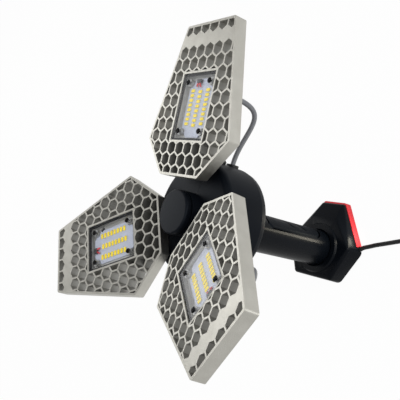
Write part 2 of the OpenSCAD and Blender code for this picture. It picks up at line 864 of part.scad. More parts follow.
// Radius and height after t turns: in on the floor, out on top, a layer higher in the half turn at the middle
function coil_radius(t) = coil_r - coil_span / 2 + abs(t - coil_turns / 2) * coil_step;
function smooth(t) = let (w = min(1, max(0, t))) w * w * (3 - 2 * w);
function coil_height(t) = coil_step * smooth((t - coil_turns / 2) * 2 + 0.5);
function coil_point(t) =
  let (a = coil_in_az + 360 * t)
  coil_middle + [coil_radius(t) * cos(a), coil_radius(t) * sin(a), coil_height(t)];
coil_rings = round(coil_turns * 24);
coil_winding = [for (k = [0:coil_rings]) coil_point(coil_turns * k / coil_rings)];
coil_in_dir = unit(coil_winding[1] - coil_winding[0]);
coil_out_dir = unit(coil_winding[coil_rings] - coil_winding[coil_rings - 1]);
coil_start = coil_winding[0] - coil_in_dir * cord_d;
coil_end = coil_winding[coil_rings] + coil_out_dir * cord_d;
coil_line = concat([coil_start], coil_winding, [coil_end]);

// The tail turns back from the coil, down to the floor and up to the middle of the plug
tail_turn_r = 20;
tail_turn = 160;
tail_steps = 16;
plug_r = 5.2;
tail_ahead = coil_out_dir;
tail_right = [coil_out_dir[1], -coil_out_dir[0], 0];
function tail_point(s) =
  let (a = tail_turn * s, z = coil_step * (1 - smooth(2 * s)) + (plug_r - cord_d / 2) * smooth(4 * s - 3))
  [coil_end[0], coil_end[1], cord_d / 2 + z] + tail_ahead * (4 * min(1, 8 * s) + tail_turn_r * sin(a))
  + tail_right * tail_turn_r * (1 - cos(a));
tail_route = [for (k = [0:tail_steps]) tail_point(k / tail_steps)];
plug_dir = tail_ahead * cos(tail_turn) + tail_right * sin(tail_turn);
plug_start = tail_route[tail_steps];

lead_line = concat(lead_route, [coil_start]);
module cord_lead() {
  color([0.1, 0.1, 0.1]) tube(lead_line, cord_d / 2, 8, first = relief_dir, last = coil_in_dir);
}

module cord_coil() {
  color([0.1, 0.1, 0.1]) tube(coil_line, cord_d / 2, 6, first = coil_in_dir, last = coil_out_dir);
}

module cord_tail() {
  color([0.1, 0.1, 0.1]) tube(tail_route, cord_d / 2, 8, first = coil_out_dir, last = plug_dir);
}

module plug() {
  color([0.1, 0.1, 0.1])
    translate(plug_start)
      rotate([0, 90, atan2(plug_dir[1], plug_dir[0])])
        difference() {
          union() {
            cylinder(r1 = 3.1, r2 = 4, h = 10);
            translate([0, 0, 10]) cylinder(r = plug_r, h = 22);
            translate([0, 0, 31]) cylinder(r = 2.75, h = 10.5);
          }
          translate([0, 0, 33]) cylinder(r = 1.25, h = 10);
        }
}

// Least gap between the coil's turns, and the cord's length
coil_gap = min([for (k = [0:2:coil_rings - 16])
  min([for (m = [k + 16:2:coil_rings]) norm(coil_winding[k] - coil_winding[m])])]) - cord_d;
cord_length = length_of(lead_line) + length_of(coil_line) + length_of(tail_route);
echo(coil_gap = coil_gap, cord_length = cord_length);
for (i = [0:2]) echo(panel_cable = i, length = length_of(cable_line(i)));

base_casing();
foot_pad();
base_plate();
magnets();
base_screws();
handle_shell();
grip_pad();
swivel_nut();
supply_lead();
cord_relief();
cord_lead();
cord_coil();
cord_tail();
plug();
drum_shell();
rear_cover();
cover_screws();
swivel_washer();
driver_board();
driver_parts();
push_switch();
button_spring();
grommets();
front_button();
button_clip();
switch_plunger();
for (i = [0:2]) {
  bracket(i);
  cable(i);
  frame(i);
  led_board(i);
  leds(i);
  lens(i);
  gasket(i);
  screws(i);
  gland(i);
  yoke(i);
  hinge_pin(i);
}
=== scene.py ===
"""Deformable garage light: three folding light panels on a round hub, a handle, a magnetic base
and a lead.

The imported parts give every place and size. This script gives them their finishes, rounds their
edges, draws the cables and the lead, and adds what is on the boards behind the lenses. Lengths are
given in millimetres and angles in degrees, except where a comment says metres.
"""

import json
import math

import bmesh
import bpy
from mathutils import Matrix, Vector

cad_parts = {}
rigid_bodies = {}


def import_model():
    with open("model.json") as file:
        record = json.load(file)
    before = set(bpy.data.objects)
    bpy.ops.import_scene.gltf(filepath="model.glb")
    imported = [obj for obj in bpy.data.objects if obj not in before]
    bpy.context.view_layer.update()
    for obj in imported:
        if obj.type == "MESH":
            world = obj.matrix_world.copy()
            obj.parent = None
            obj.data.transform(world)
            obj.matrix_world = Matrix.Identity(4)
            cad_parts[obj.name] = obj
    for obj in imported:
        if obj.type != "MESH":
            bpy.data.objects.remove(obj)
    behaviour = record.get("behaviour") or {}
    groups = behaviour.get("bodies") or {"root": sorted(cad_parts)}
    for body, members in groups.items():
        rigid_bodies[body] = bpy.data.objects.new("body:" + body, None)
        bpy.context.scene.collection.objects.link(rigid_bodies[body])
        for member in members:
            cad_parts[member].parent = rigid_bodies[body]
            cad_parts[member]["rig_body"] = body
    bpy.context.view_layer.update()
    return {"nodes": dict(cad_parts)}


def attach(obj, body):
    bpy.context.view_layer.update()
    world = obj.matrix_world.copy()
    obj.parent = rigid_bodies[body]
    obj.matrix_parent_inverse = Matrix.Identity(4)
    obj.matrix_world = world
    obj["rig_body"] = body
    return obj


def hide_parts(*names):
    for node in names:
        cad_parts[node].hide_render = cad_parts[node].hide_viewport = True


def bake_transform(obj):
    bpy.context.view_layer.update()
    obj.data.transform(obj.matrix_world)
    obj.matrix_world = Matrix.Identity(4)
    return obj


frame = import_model()
nodes = frame["nodes"]
scene = bpy.context.scene
MM = 0.001
WHITE = (1, 1, 1, 1)
# Made pieces are shaded smooth, but for edges sharper than this
SHARP = 40


def mm(*values):
    """A point or vector given in millimetres, in metres."""
    return Vector(values) * MM


def in_scene(name, data):
    """A new object with this data, linked to the scene."""
    made = bpy.data.objects.new(name, data)
    scene.collection.objects.link(made)
    return made


def shade(mesh, sharp=SHARP):
    """Shades a mesh smooth, but for the edges sharper than this angle."""
    mesh.shade_smooth()
    mesh.set_sharp_from_angle(angle=math.radians(sharp))


def mesh_from(name, shell):
    """A plain mesh from a bmesh, which is freed."""
    mesh = bpy.data.meshes.new(name)
    shell.to_mesh(mesh)
    shell.free()
    return mesh


# ---- Camera ----

# Where the photograph was taken from, worked out from the outlines of the three equal panels
PHOTO_PIXELS = 400
FOCAL_PIXELS = 551.9
AXIS_PIXEL = (185.1, 228.3)
SENSOR_MM = 36
CAMERA_AT = mm(-13.8, -441.5, 530.8)
CAMERA_RIGHT = Vector((0.22586, -0.56568, -0.79309))
CAMERA_UP = Vector((0.97416, 0.13019, 0.18456))

camera_data = bpy.data.cameras.new("camera")
camera_data.sensor_width = SENSOR_MM
camera_data.lens = SENSOR_MM * FOCAL_PIXELS / PHOTO_PIXELS
camera_data.shift_x = (PHOTO_PIXELS / 2 - AXIS_PIXEL[0]) / PHOTO_PIXELS
camera_data.shift_y = (AXIS_PIXEL[1] - PHOTO_PIXELS / 2) / PHOTO_PIXELS
camera_data.clip_start = 0.01
camera = in_scene("camera", camera_data)
camera_back = CAMERA_RIGHT.cross(CAMERA_UP).normalized()
camera_up = camera_back.cross(CAMERA_RIGHT).normalized()
axes = Matrix((CAMERA_RIGHT.normalized(), camera_up, camera_back)).transposed().to_4x4()
camera.matrix_world = Matrix.Translation(CAMERA_AT) @ axes
scene.camera = camera

# ---- Where the panels are ----

LETTERS = "abc"
# How far the head is turned on the handle, and how far each panel is tilted forwards
HEAD_TURN = -1.4
TILTS = (1.6, 16, 15.6)
# The hinge pins: how far out from the hub's axis and how high, then where they are in a panel's own
# axes, outwards and backwards
HINGE_R = 67.6
HINGE_Z = 213
HINGE_Y = 33.1
HINGE_D = 27.9


def panel_azimuth(i):
    return HEAD_TURN + 120 * i


# A panel's outline less its rim, counter-clockwise, and the depth at which its recess starts
PANEL_RIM = [
    (-29.7, 1.8),
    (29.7, 1.8),
    (65.6, 35.8),
    (36.2, 148.2),
    (-36.2, 148.2),
    (-65.6, 35.8),
]
RECESS_FROM = -0.8
# A face that looks forwards less than this is a wall and not a land
WALL_FACING = 0.5


def turned(angle, axis):
    return Matrix.Rotation(math.radians(angle), 4, axis)


def unit_at(azimuth):
    """The level direction at this azimuth."""
    return Vector((math.cos(math.radians(azimuth)), math.sin(math.radians(azimuth)), 0))


def panel_place(i, tilt=None):
    """From a panel's own axes, x across, y outwards and z forwards, to its place at rest."""
    fold = turned(-(TILTS[i] if tilt is None else tilt), "Y")
    to_hinge = Matrix.Translation(mm(HINGE_R, 0, HINGE_Z))
    from_hinge = Matrix.Translation(mm(-HINGE_Y, 0, HINGE_D))
    return turned(panel_azimuth(i), "Z") @ to_hinge @ fold @ from_hinge @ turned(-90, "Z")


# ---- Materials ----


def linear(code):
    """The linear colour of an sRGB hex code."""
    parts = [int(code[k : k + 2], 16) / 255 for k in (1, 3, 5)]
    return (*[p / 12.92 if p <= 0.04045 else ((p + 0.055) / 1.055) ** 2.4 for p in parts], 1)


def add(tree, kind, inputs=None, **settings):
    """Adds a node with its settings. An input gets a value, or a link from another socket."""
    node = tree.nodes.new(kind)
    for name, value in settings.items():
        setattr(node, name, value)
    for name, value in (inputs or {}).items():
        if isinstance(value, bpy.types.NodeSocket):
            tree.links.new(value, node.inputs[name])
        else:
            node.inputs[name].default_value = value
    return node


def new_material(name):
    """An empty node material and its tree."""
    made = bpy.data.materials.new(name)
    made.use_nodes = True
    made.node_tree.nodes.clear()
    return made, made.node_tree


# A colour mix node's sockets, whose names repeat: how much of the second, both colours, the result
MIX_SHARE, MIX_FIRST, MIX_SECOND, MIXED = 0, 6, 7, 2
# Where nearly all of a noise's values lie, and how many finer layers each noise has
NOISE_LOW, NOISE_HIGH = 0.3, 0.7
CLOUD_DETAIL, GRAIN_DETAIL, RIPPLE_DETAIL = 3.0, 2.0, 1.0


def noise(tree, size_mm, detail):
    """Noise on the piece's own coordinates, with features of this size."""
    place = add(tree, "ShaderNodeTexCoord").outputs["Object"]
    settings = {"Vector": place, "Scale": 1 / (size_mm * MM), "Detail": detail}
    return add(tree, "ShaderNodeTexNoise", settings).outputs["Fac"]


def maths(tree, operation, *values):
    """What a math node makes of these numbers or sockets."""
    return add(tree, "ShaderNodeMath", dict(enumerate(values)), operation=operation).outputs[0]


def mixed(tree, share, first, second):
    """Two shaders mixed, with this share of the second."""
    shaders = {0: share, 1: first.outputs[0], 2: second.outputs[0]}
    return add(tree, "ShaderNodeMixShader", shaders).outputs[0]


def surface(
    name, colour, darker, roughness, grain_mm, grain_depth, cloud_mm=30, rougher=0.08, **bsdf
):
    """One finish: a colour that drifts a little to a darker one, uneven gloss and a fine grain."""
    made, tree = new_material(name)
    cloud = noise(tree, cloud_mm, CLOUD_DETAIL)
    grain = noise(tree, grain_mm, GRAIN_DETAIL)
    tint = add(
        tree,
        "ShaderNodeMix",
        {MIX_SHARE: cloud, MIX_FIRST: linear(colour), MIX_SECOND: linear(darker)},
        data_type="RGBA",
    )
    rough = add(
        tree,
        "ShaderNodeMapRange",
        {
            "Value": grain,
            "From Min": NOISE_LOW,
            "From Max": NOISE_HIGH,
            "To Min": roughness,
            "To Max": roughness + rougher,
        },
    )
    bump = add(
        tree, "ShaderNodeBump", {"Height": grain, "Distance": grain_depth * MM, "Strength": 1.0}
    )
    shader = add(
        tree,
        "ShaderNodeBsdfPrincipled",
        {
            "Base Color": tint.outputs[MIXED],
            "Roughness": rough.outputs["Result"],
            "Normal": bump.outputs["Normal"],
            **bsdf,
        },
    )
    add(tree, "ShaderNodeOutputMaterial", {"Surface": shader.outputs["BSDF"]})
    return made


def sheen(level, tint=WHITE):
    """The strength of a plastic's gloss, 0.5 being what its index alone gives, and its tint."""
    return {"Specular IOR Level": level, "Specular Tint": tint}


# Each finish has its name, its colour, a darker one, its roughness, and its grain's size and depth.

# Die-cast aluminium, bead-blasted: pale, warm and even, with a soft sheen and no lines.
# The blasting grain is about 0.2 mm, drawn at 1 mm so that it shows.
cast_aluminium = surface(
    "die_cast_aluminium_blasted", "#d8d6ce", "#bebcb3", 0.36, 1.0, 0.16, 14, Metallic=1.0
)
# The same casting inside its cells and recess: duller, and darker with painted shade.
recess_painted_shade = surface(
    "die_cast_aluminium_painted_shade", "#bebdb8", "#a9a8a3", 0.50, 0.8, 0.08, Metallic=1.0
)
# Moulded ABS with a fine spark-eroded grain: near black, matt, with broad soft highlights.
# The eroded pits swallow part of the gloss that a polished face would have, and what is left has
# a painted cool tint.
PAINTED_COOL_SHEEN = (0.72, 0.84, 1, 1)
hub_abs = surface(
    "abs_spark_eroded", "#0b0e14", "#080b10", 0.42, 0.5, 0.012, IOR=1.46, **sheen(0.15, PAINTED_COOL_SHEEN)
)
# The same ABS from a smoother mould: a satin that shows a clear light band along the handle.
handle_abs = surface(
    "abs_satin", "#0a0e14", "#070a0f", 0.24, 0.6, 0.006, IOR=1.46, **sheen(0.13)
)
# Moulded thermoplastic rubber: duller than the ABS beside it, with the same painted cool tint on
# its gloss.
grip_rubber = surface(
    "tpe_grip", "#0c1016", "#080b10", 0.46, 0.4, 0.02, IOR=1.44, **sheen(0.12, PAINTED_COOL_SHEEN)
)
# Moulded silicone rubber, bright red: a matt face with a little light along its edge.
red_rubber = surface("silicone_red", "#f03a42", "#e4323b", 0.45, 0.6, 0.008, IOR=1.43)
# Glass-filled nylon: near black, slightly shiny.
hinge_nylon = surface(
    "nylon_glass_filled", "#101216", "#0c0e11", 0.38, 0.7, 0.012, IOR=1.5, **sheen(0.2)
)
# Extruded PVC: smooth black sheath.
black_pvc = surface("pvc_sheath_black", "#151617", "#101112", 0.38, 0.8, 0.006, IOR=1.53)
# Extruded PVC, grey: smooth, a little cool.
grey_pvc = surface("pvc_sheath_grey", "#808286", "#77797e", 0.40, 0.8, 0.006, IOR=1.53)
# Moulded rubber bushes and gaskets.
seal_rubber = surface("epdm_seal", "#101112", "#0c0d0e", 0.5, 0.5, 0.01, IOR=1.5)
# White solder mask on an aluminium-backed board: slightly cool, glossy, and painted grey for the
# shade it lies in under the lens.
board_mask_painted_shade = surface("solder_mask_white_painted_shade", "#b4b8c2", "#a9adb8", 0.28, 1.2, 0.004, IOR=1.5)
# Green solder mask.
green_mask = surface("solder_mask_green", "#12502c", "#0f4526", 0.3, 1.2, 0.004, IOR=1.5)
# Black oxide on steel screws: near black with a metal sheen.
black_oxide = surface("steel_black_oxide", "#2a2a2c", "#1c1c1d", 0.34, 0.4, 0.01, Metallic=1.0)
# Zinc plate on steel pins, plates and springs.
zinc_plate = surface("steel_zinc_plated", "#b4b5b8", "#a3a4a8", 0.32, 0.6, 0.006, Metallic=1.0)
# Tin-lead solder: bright, a little uneven.
solder_tin = surface("solder_tin", "#c6c7ca", "#b2b3b6", 0.24, 0.8, 0.02, Metallic=1.0)
# Epoxy case of a driver part.
part_epoxy = surface("epoxy_moulding", "#17181b", "#111214", 0.45, 0.5, 0.01, IOR=1.55)
# Silicone sheath of the board's own leads: red, slightly glossy.
lead_red = surface("silicone_sheath_red", "#cf2a35", "#bd222c", 0.34, 0.5, 0.006, IOR=1.43)
# LED case: white ceramic-filled polymer, painted cream for the yellow light that its phosphor
# throws on it.
led_case_painted_light = surface("led_case_ppa_painted_light", "#e4dcae", "#dad2a2", 0.35, 0.6, 0.004, IOR=1.55)
# Phosphor in clear silicone over the chips: saturated warm yellow with a wet gloss.
led_phosphor = surface("led_phosphor_silicone", "#f4d800", "#edce00", 0.18, 0.5, 0.004, IOR=1.43)

# Below polycarbonate's 1.58, at which the white studio mirrored in the lenses veils the boards more
# than in the photo
LENS_IOR = 1.22
RIPPLE_SIZE = 9
RIPPLE_DEPTH = 0.01


def clear_lens():
    """Clear moulded polycarbonate with a faint ripple, which lets light through to the boards."""
    made, tree = new_material("polycarbonate_clear")
    ripple = noise(tree, RIPPLE_SIZE, RIPPLE_DETAIL)
    bump = add(tree, "ShaderNodeBump", {"Height": ripple, "Distance": RIPPLE_DEPTH * MM})
    shader = add(
        tree,
        "ShaderNodeBsdfPrincipled",
        {
            "Base Color": linear("#fbfcff"),
            "Roughness": 0.01,
            "IOR": LENS_IOR,
            "Transmission Weight": 1.0,
            "Normal": bump.outputs["Normal"],
        },
    )
    clear = add(tree, "ShaderNodeBsdfTransparent", {"Color": linear("#f4f6fa")})
    path = add(tree, "ShaderNodeLightPath")
    both = mixed(tree, path.outputs["Is Shadow Ray"], shader, clear)
    add(tree, "ShaderNodeOutputMaterial", {"Surface": both})
    return made


lens_polycarbonate = clear_lens()

FINISH = {
    "base_casing": handle_abs,
    "foot_pad": red_rubber,
    "base_plate": zinc_plate,
    "magnets": zinc_plate,
    "base_screws": zinc_plate,
    "handle_shell": handle_abs,
    "grip_pad": grip_rubber,
    "swivel_nut": hinge_nylon,
    "supply_lead": black_pvc,
    "cord_relief": black_pvc,
    "plug": black_pvc,
    "drum_shell": hub_abs,
    "rear_cover": hub_abs,
    "cover_screws": zinc_plate,
    "swivel_washer": zinc_plate,
    "driver_board": green_mask,
    "driver_parts": part_epoxy,
    "push_switch": part_epoxy,
    "button_spring": zinc_plate,
    "grommets": seal_rubber,
    "front_button": hub_abs,
    "button_clip": zinc_plate,
    "switch_plunger": led_case_painted_light,
    "bracket": hinge_nylon,
    "frame": cast_aluminium,
    "led_board": board_mask_painted_shade,
    "leds": led_phosphor,
    "lens": lens_polycarbonate,
    "gasket": seal_rubber,
    "screws": black_oxide,
    "gland": hinge_nylon,
    "yoke": hinge_nylon,
    "hinge_pin": zinc_plate,
}


def paint_recess_shade(piece, i):
    """Gives the inner faces of a panel's cells and window the darker copy of the casting, with
    painted shade.
    """
    inner = [Vector((*p, 0)) for p in PANEL_RIM]
    edges = list(zip(inner, inner[1:] + inner[:1]))
    back = panel_place(i).inverted()
    piece.data.materials.append(recess_painted_shade)
    for face in piece.data.polygons:
        at = back @ face.center / MM
        facing = (back.to_3x3() @ face.normal).normalized().z
        within = all((b - a).cross(at - a).z > 0 for a, b in edges)
        if within and (facing < WALL_FACING or at.z < RECESS_FROM):
            face.material_index = 1


def finish_of(node):
    """A node's finish. The panels' nodes share one, less their letter."""
    return FINISH.get(node) or FINISH[node[:-2]]


def paint(piece, material):
    """Gives the whole piece one material."""
    piece.data.materials.clear()
    piece.data.materials.append(material)


for node_name, node_object in nodes.items():
    if not node_name.startswith(("cord_lead", "cord_coil", "cord_tail", "cable_")):
        paint(node_object, finish_of(node_name))

# ---- Rounded edges ----

# Corners closer than this are one, and faces that meet at less than this angle are one
WELD = 0.002
FLAT = 0.3
# Edges sharper than this are rounded
ROUND_FROM = 32


def mesh_of(piece):
    """What the piece's modifiers make of it, as a plain mesh."""
    graph = bpy.context.evaluated_depsgraph_get()
    graph.update()
    return bpy.data.meshes.new_from_object(piece.evaluated_get(graph))


def rounded(node, edge_mm, steps=2):
    """A piece in a CAD node's place, with its loose triangles joined and its edges rounded."""
    shell = bmesh.new()
    shell.from_mesh(nodes[node].data)
    bmesh.ops.remove_doubles(shell, verts=shell.verts, dist=WELD * MM)
    bmesh.ops.dissolve_limit(
        shell, angle_limit=math.radians(FLAT), verts=shell.verts, edges=shell.edges, delimit=set()
    )
    name = node + "_rounded"
    mesh = mesh_from(name, shell)
    shade(mesh, ROUND_FROM)
    piece = in_scene(name, mesh)
    bevel = piece.modifiers.new("edges", "BEVEL")
    bevel.width = edge_mm * MM
    bevel.segments = steps
    bevel.limit_method = "ANGLE"
    bevel.angle_limit = math.radians(ROUND_FROM)
    bevel.use_clamp_overlap = True
    bevel.harden_normals = True
    mesh = mesh_of(piece)
    bpy.data.objects.remove(piece)
    piece = in_scene(name, mesh)
    paint(piece, finish_of(node))
    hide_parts(node)
    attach(piece, nodes[node]["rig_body"])
    return piece


for i, letter in enumerate(LETTERS):
    paint_recess_shade(rounded("frame_" + letter, 0.35), i)
    rounded("yoke_" + letter, 0.5)
    rounded("bracket_" + letter, 0.5)
    rounded("gland_" + letter, 0.3)
# How wide the other pieces' edges are rounded, and in how many steps
for node_name, edge_width, edge_steps in (
    ("drum_shell", 0.8, 3),
    ("rear_cover", 0.6, 3),
    ("front_button", 0.9, 3),
    ("handle_shell", 0.6, 3),
    ("grip_pad", 0.5, 2),
    ("base_casing", 0.9, 3),
    ("foot_pad", 0.8, 3),
    ("plug", 0.4, 2),
    ("grommets", 0.6, 3),
):
    rounded(node_name, edge_width, edge_steps)

# ---- What repeats: LEDs and screws ----

# A panel's thickness, its recess, the board in it and the yoke behind it
PANEL_T = 12.4
RECESS_D = 8
BOARD_T = 1.2
BOARD_FACE = BOARD_T - RECESS_D
YOKE_T = 2.5
# Where the screws are: in the lenses, through the yokes, in the hub's rear cover and its board
LENS_TOP = -1
LENS_POSTS = [(x, y) for x in (-17.3, 17.3) for y in (44.2, 92.3)]
YOKE_SCREWS = [(-21, 47), (21, 47)]
DRUM_BOTTOM = 165
COVER_SCREW_R = 49
COVER_SCREW_SUNK = 1.2
BOARD_SCREW_R = 34
DRIVER_BOARD_Z = 195
# A screw's head and shank, the cross in its head, and how long each kind is
HEAD_R = 2.7
HEAD_H = 1.1
SHANK_R = 1.5
CROSS = (3.2, 0.75, 1.3)
LENS_SCREW_LEN = 7
YOKE_SCREW_LEN = 5
COVER_SCREW_LEN = 14
BOARD_SCREW_LEN = 8
# Three rows of LEDs on a board, and what fills each of them
LED_FIRST_Y = 52.3
LED_PITCH = 4.66
LED_STARTS = [(-12.2, LED_FIRST_Y), (0, LED_FIRST_Y - 1.4), (12.2, LED_FIRST_Y)]
LED_COUNT = 8
LED_SIZE = (5.7, 3.2, 0.8)
PHOSPHOR_SIZE = (5.5, 3, 0.6)
LED_CREASE = 0.97


def new_tree(name, inputs):
    """A geometry tree with named inputs, and its input and output nodes."""
    tree = bpy.data.node_groups.new(name, "GeometryNodeTree")
    tree.interface.new_socket("Geometry", in_out="OUTPUT", socket_type="NodeSocketGeometry")
    tree.interface.new_socket("Geometry", in_out="INPUT", socket_type="NodeSocketGeometry")
    for label, kind in inputs.items():
        tree.interface.new_socket(label, in_out="INPUT", socket_type="NodeSocket" + kind)
    return tree, tree.nodes.new("NodeGroupInput").outputs, tree.nodes.new("NodeGroupOutput").inputs


def end_in(tree, shapes, material, out):
    """Turns instances into one real mesh with the material, and gives it out."""
    real = add(tree, "GeometryNodeRealizeInstances", {"Geometry": shapes})
    done = add(tree, "GeometryNodeSetMaterial", {"Geometry": real.outputs[0], "Material": material})
    tree.links.new(done.outputs[0], out["Geometry"])


def grown(name, tree, points, place, settings):
    """The piece that a tree makes on these points, moved to its place as a plain mesh."""
    base = bpy.data.meshes.new(name + "_points")
    base.from_pydata([mm(*p) for p in points], [], [])
    holder = in_scene(name + "_points", base)
    form = holder.modifiers.new("form", "NODES")
    form.node_group = tree
    for item in tree.interface.items_tree:
        if item.item_type == "SOCKET" and item.in_out == "INPUT" and item.name in settings:
            form[item.identifier] = settings[item.name]
    mesh = mesh_of(holder)
    bpy.data.objects.remove(holder)
    mesh.transform(place)
    shade(mesh)
    return in_scene(name, mesh)


def copies(tree, points, shape):
    """The shape at each of the points."""
    settings = {"Points": points, "Instance": shape}
    return add(tree, "GeometryNodeInstanceOnPoints", settings).outputs[0]


def led_rows():
    """Rows of equal soft-edged blocks, one row of them starting at each point."""
    tree, given, out = new_tree(
        "led_rows",
        {
            "Count": "Int",
            "Pitch": "Float",
            "Block size": "Vector",
            "Edge crease": "Float",
            "Material": "Material",
        },
    )
    step = add(tree, "ShaderNodeCombineXYZ", {"Y": given["Pitch"]})
    line = add(
        tree, "GeometryNodeMeshLine", {"Count": given["Count"], "Offset": step.outputs[0]}
    )
    block = add(tree, "GeometryNodeMeshCube", {"Size": given["Block size"]})
    soft = add(
        tree,
        "GeometryNodeSubdivisionSurface",
        {"Mesh": block.outputs["Mesh"], "Level": 2, "Edge Crease": given["Edge crease"]},
    )
    row = copies(tree, line.outputs[0], soft.outputs[0])
    end_in(tree, copies(tree, given["Geometry"], row), given["Material"], out)
    return tree


# A screw's head is straight in its lower half, whose middle is this share of the height up, and
# narrows in its upper half to this share of its radius
HEAD_LOW_MIDDLE = 0.25
HEAD_TOP_SHARE = 0.72
# The shank's middle is this share of its length down, so that the shank starts inside the head
SHANK_MIDDLE = -0.48


def screw_set():
    """Screws with a chamfered head and a cross recess, one at each point, heads up."""
    tree, given, out = new_tree(
        "screw_set",
        {
            "Head radius": "Float",
            "Head height": "Float",
            "Shank radius": "Float",
            "Shank length": "Float",
            "Recess size": "Vector",
            "Material": "Material",
        },
    )

    def share_of(label, share):
        return maths(tree, "MULTIPLY", given[label], share)

    def lifted(mesh, height):
        up = add(tree, "ShaderNodeCombineXYZ", {"Z": height})
        settings = {"Geometry": mesh, "Translation": up.outputs[0]}
        return add(tree, "GeometryNodeTransform", settings).outputs[0]

    half_height = share_of("Head height", 0.5)
    low = add(
        tree,
        "GeometryNodeMeshCylinder",
        {"Vertices": 32, "Radius": given["Head radius"], "Depth": half_height},
    )
    chamfer = add(
        tree,
        "GeometryNodeMeshCone",
        {
            "Vertices": 32,
            "Radius Bottom": given["Head radius"],
            "Radius Top": share_of("Head radius", HEAD_TOP_SHARE),
            "Depth": half_height,
        },
    )
    shank = add(
        tree,
        "GeometryNodeMeshCylinder",
        {"Vertices": 20, "Radius": given["Shank radius"], "Depth": given["Shank length"]},
    )
    whole = add(tree, "GeometryNodeMeshBoolean", operation="UNION")
    for mesh in (
        lifted(low.outputs["Mesh"], share_of("Head height", HEAD_LOW_MIDDLE)),
        lifted(chamfer.outputs["Mesh"], half_height),
        lifted(shank.outputs["Mesh"], share_of("Shank length", SHANK_MIDDLE)),
    ):
        tree.links.new(mesh, whole.inputs["Mesh 2"])
    slot = add(tree, "GeometryNodeMeshCube", {"Size": given["Recess size"]}).outputs["Mesh"]
    quarter_turn = {"Geometry": slot, "Rotation": (0, 0, math.pi / 2)}
    across = add(tree, "GeometryNodeTransform", quarter_turn).outputs[0]
    cut = add(
        tree,
        "GeometryNodeMeshBoolean",
        {"Mesh 1": whole.outputs["Mesh"]},
        operation="DIFFERENCE",
    )
    for mesh in (slot, across):
        tree.links.new(lifted(mesh, given["Head height"]), cut.inputs["Mesh 2"])
    screws = copies(tree, given["Geometry"], cut.outputs["Mesh"])
    end_in(tree, screws, given["Material"], out)
    return tree


LED_ROWS = led_rows()
SCREW_SET = screw_set()


def screws_at(name, points, place, length, material):
    """Alike screws with their heads' undersides at the points."""
    settings = {
        "Head radius": HEAD_R * MM,
        "Head height": HEAD_H * MM,
        "Shank radius": SHANK_R * MM,
        "Shank length": length * MM,
        "Recess size": mm(*CROSS),
        "Material": material,
    }
    return grown(name, SCREW_SET, points, place, settings)


def leds_at(name, place, size, height, material):
    """Three rows of LED cases, or of what fills them."""
    settings = {
        "Count": LED_COUNT,
        "Pitch": LED_PITCH * MM,
        "Block size": mm(*size),
        "Edge crease": LED_CREASE,
        "Material": material,
    }
    points = [(x, y, height) for x, y in LED_STARTS]
    return grown(name, LED_ROWS, points, place, settings)


UNDER = turned(180, "X")
CASE_Z = BOARD_FACE + LED_SIZE[2] / 2
FILL_Z = BOARD_FACE + LED_SIZE[2]
for i, letter in enumerate(LETTERS):
    place = panel_place(i)
    body = "panel_" + letter
    cases = leds_at("led_cases_" + letter, place, LED_SIZE, CASE_Z, led_case_painted_light)
    fills = leds_at("led_fills_" + letter, place, PHOSPHOR_SIZE, FILL_Z, led_phosphor)
    front = screws_at(
        "lens_screws_" + letter,
        [(x, y, LENS_TOP) for x, y in LENS_POSTS],
        place,
        LENS_SCREW_LEN,
        black_oxide,
    )
    back = screws_at(
        "yoke_screws_" + letter,
        [(x, -y, PANEL_T + YOKE_T) for x, y in YOKE_SCREWS],
        place @ UNDER,
        YOKE_SCREW_LEN,
        black_oxide,
    )
    for piece, slot, node in (
        (cases, "white_board", "leds_"),
        (fills, "led_phosphor", "leds_"),
        (front, "black_screws", "screws_"),
        (back, "black_screws", "screws_"),
    ):
        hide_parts(node + letter)
        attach(piece, body)

# The hub's screws, heads down and midway between the panels
HEAD_POSTS = [unit_at(HEAD_TURN + 60 + 120 * k) for k in range(3)]
cover_screws = screws_at(
    "rear_screws",
    [
        (p.x * COVER_SCREW_R, -p.y * COVER_SCREW_R, -DRUM_BOTTOM - COVER_SCREW_SUNK)
        for p in HEAD_POSTS
    ],
    UNDER,
    COVER_SCREW_LEN,
    zinc_plate,
)
board_screws = screws_at(
    "board_screws",
    [(p.x * BOARD_SCREW_R, -p.y * BOARD_SCREW_R, -DRIVER_BOARD_Z) for p in HEAD_POSTS],
    UNDER,
    BOARD_SCREW_LEN,
    zinc_plate,
)
for piece in (cover_screws, board_screws):
    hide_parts("cover_screws")
    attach(piece, "head")

# ---- Cables ----

CORD_D = 5


def curve_through(points, material, name, width):
    """A round cord along the points, as one open curve."""
    line = bpy.data.curves.new(name, "CURVE")
    line.dimensions = "3D"
    line.bevel_depth = width / 2
    line.bevel_resolution = 4
    line.use_fill_caps = True
    spline = line.splines.new("POLY")
    spline.points.add(len(points) - 1)
    for point, at in zip(spline.points, points):
        point.co = (*at, 1)
    line.materials.append(material)
    return in_scene(name, line)


def between(a, b, c, d, t):
    """A Catmull-Rom curve's point between b, where t is 0, and c, where t is 1."""
    square = 2 * a - 5 * b + 4 * c - d
    cube = 3 * b - a - 3 * c + d
    return 0.5 * (2 * b + (c - a) * t + square * t**2 + cube * t**3)


def smooth_line(points, per_step):
    """A smooth line through the points, with per_step points to each step."""
    line = []
    for k in range(len(points) - 1):
        a = points[max(k - 1, 0)]
        b, c = points[k], points[k + 1]
        d = points[min(k + 2, len(points) - 1)]
        line.extend(between(a, b, c, d, s / per_step) for s in range(per_step))
    return [*line, points[-1]]


# The lead: out of the base, along the floor past the picture's edge, and into a coil of spare lead
RELIEF_OUT = mm(9.4, -47.228, 3.6)
RELIEF_DIR = unit_at(-60)
RELIEF_AHEAD = 4
RELIEF_DROP = 0.3
